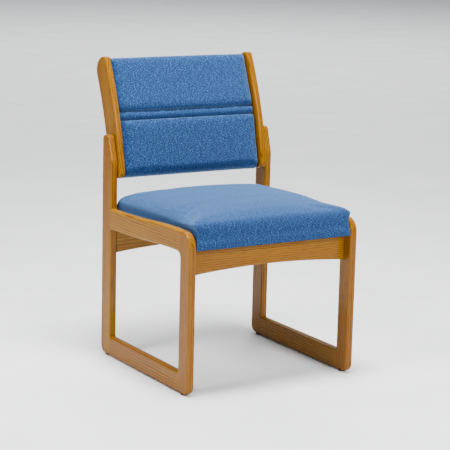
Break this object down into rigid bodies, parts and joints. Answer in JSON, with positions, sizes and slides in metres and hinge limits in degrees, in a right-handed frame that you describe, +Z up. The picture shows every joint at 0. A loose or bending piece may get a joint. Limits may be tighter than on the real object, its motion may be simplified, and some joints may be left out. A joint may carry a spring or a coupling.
{
  "type": "visitor chair",
  "caption": "Visitor chair with solid oak sled base side frames, a thick upholstered seat and a curved upholstered back between wooden stiles.",
  "frame": {"origin": "on the floor, under the middle of the chair's overall width and depth", "axes": "+Z up, -Y towards the front of the chair, +X to the right as seen by someone facing the chair from the front"},
  "size_m": [0.533, 0.5921, 0.848],
  "materials": {
    "oak": "honey oak, satin lacquer",
    "birch_ply": "raw plywood",
    "beech_dowel": "raw beech",
    "foam": "open-cell foam",
    "tweed": "heathered blue woven upholstery",
    "dust_cloth": "black non-woven cloth",
    "hardboard": "smooth hardboard",
    "zinc_steel": "zinc plated",
    "glide_plastic": "dark nylon"
  },
  "bodies": {
    "root": {"left_front_leg": "oak", "right_front_leg": "oak", "left_rear_post": "oak", "right_rear_post": "oak", "left_runner": "oak", "right_runner": "oak", "left_seat_rail": "oak", "right_seat_rail": "oak", "front_apron": "oak", "rear_apron": "oak", "left_back_stile": "oak", "right_back_stile": "oak", "seat_board": "birch_ply", "back_board": "birch_ply", "lower_back_rail": "birch_ply", "upper_back_rail": "birch_ply", "apron_dowels": "beech_dowel", "left_frame_dowels": "beech_dowel", "right_frame_dowels": "beech_dowel", "back_rail_dowels": "beech_dowel", "seat_foam": "foam", "lower_back_foam": "foam", "upper_back_foam": "foam", "back_roll_foam": "foam", "seat_cover": "tweed", "lower_back_cover": "tweed", "upper_back_cover": "tweed", "back_roll_cover": "tweed", "outside_back_cover": "tweed", "seat_dust_cover": "dust_cloth", "outside_back_panel": "hardboard", "seat_screws": "zinc_steel", "stile_bolts": "zinc_steel", "bolt_inserts": "zinc_steel", "glide_nails": "zinc_steel", "back_screws": "zinc_steel", "front_left_glide": "glide_plastic", "rear_left_glide": "glide_plastic", "front_right_glide": "glide_plastic", "rear_right_glide": "glide_plastic"}
  },
  "joints": []
}
